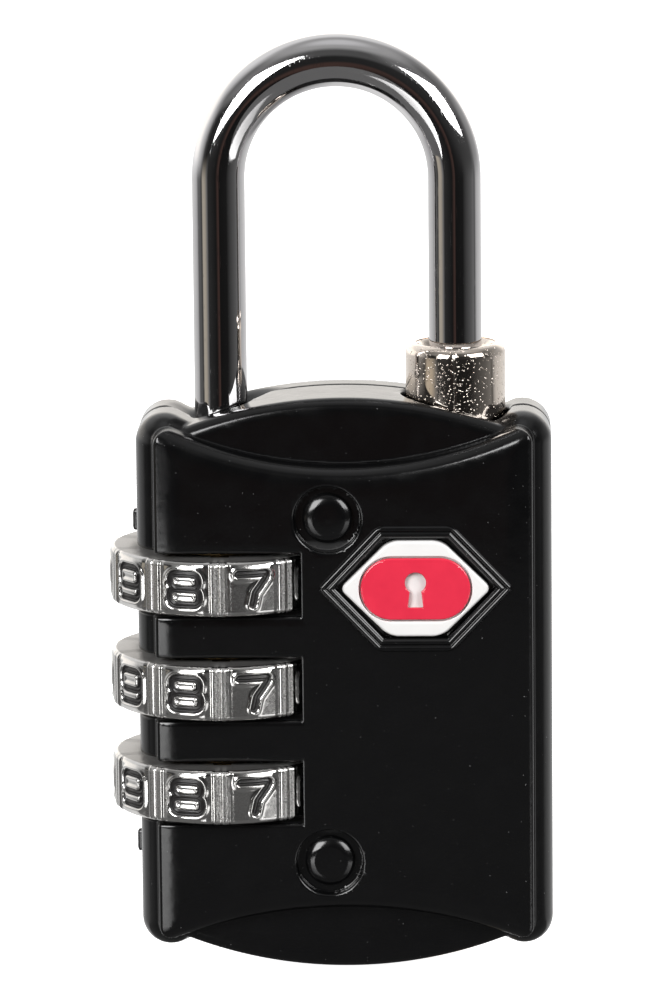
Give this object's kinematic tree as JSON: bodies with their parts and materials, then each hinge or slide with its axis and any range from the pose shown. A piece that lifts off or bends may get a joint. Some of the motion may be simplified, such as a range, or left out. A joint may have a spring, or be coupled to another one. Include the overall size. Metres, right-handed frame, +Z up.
{
  "type": "luggage combination padlock",
  "caption": "Compact luggage padlock with a tall round shackle, side thumb dials, a sinking key collar and a riveted two-shell body.",
  "frame": {"origin": "below the centre of the whole lock's box, level with the lowest point of the body", "axes": "+Z up along the shackle legs, -Y out of the front face with the badge, +X towards the collar side"},
  "size_m": [0.0322, 0.0164, 0.0678],
  "materials": {
    "black_paint": "satin black paint on die-cast zinc",
    "polished_chrome": "mirror polished",
    "nickel_plate": "warm nickel plate on a cast surface",
    "dial_plate": "satin nickel, numbers sunk and filled black",
    "brass": "machined",
    "spring_steel": "drawn wire and stamped sheet",
    "white_enamel": "gloss",
    "red_enamel": "gloss"
  },
  "bodies": {
    "case": {"front_shell": "black_paint", "rear_shell": "black_paint", "upper_rivet": "black_paint", "lower_rivet": "black_paint", "cylinder_housing": "brass", "detent_spring": "spring_steel", "reset_spring": "spring_steel", "reset_washer": "spring_steel", "badge_plate": "white_enamel", "badge_symbol": "red_enamel"},
    "shackle": {"shackle": "polished_chrome", "shackle_retaining_ring": "spring_steel"},
    "dial_1": {"number_ring_1": "dial_plate", "clutch_sleeve_1": "brass"},
    "dial_2": {"number_ring_2": "dial_plate", "clutch_sleeve_2": "brass"},
    "dial_3": {"number_ring_3": "dial_plate", "clutch_sleeve_3": "brass"},
    "collar": {"collar": "nickel_plate", "cam_pin": "spring_steel"},
    "key_plug": {"key_plug": "brass", "plug_clip": "spring_steel", "wafer_1": "brass", "wafer_2": "brass", "wafer_3": "brass", "wafer_4": "brass", "wafer_5": "brass", "wafer_spring_1": "spring_steel", "wafer_spring_2": "spring_steel", "wafer_spring_3": "spring_steel", "wafer_spring_4": "spring_steel", "wafer_spring_5": "spring_steel"}
  },
  "joints": [
    {"name": "shackle_lift", "type": "slide", "parent": "case", "child": "shackle", "axis": [0, 0, 1], "range_m": [0, 0.005]},
    {"name": "dial_1_turn", "type": "hinge", "parent": "case", "child": "dial_1", "pos_m": [-0.00785, 0, 0.02875], "axis": [0, 0, 1], "continuous": true},
    {"name": "dial_2_turn", "type": "hinge", "parent": "case", "child": "dial_2", "pos_m": [-0.00785, 0, 0.02111], "axis": [0, 0, 1], "continuous": true},
    {"name": "dial_3_turn", "type": "hinge", "parent": "case", "child": "dial_3", "pos_m": [-0.00785, 0, 0.01348], "axis": [0, 0, 1], "continuous": true},
    {"name": "key_turn", "type": "hinge", "parent": "case", "child": "key_plug", "pos_m": [0.00915, 0, 0.0015], "axis": [0, 0, 1], "range_deg": [0, 180]},
    {"name": "collar_drop", "type": "slide", "parent": "case", "child": "collar", "axis": [0, 0, 1], "range_m": [-0.0046, 0]}
  ],
  "couplings": [
    {"joint": "key_turn", "follows": "collar_drop", "rad_per_m": -682.95}
  ]
}
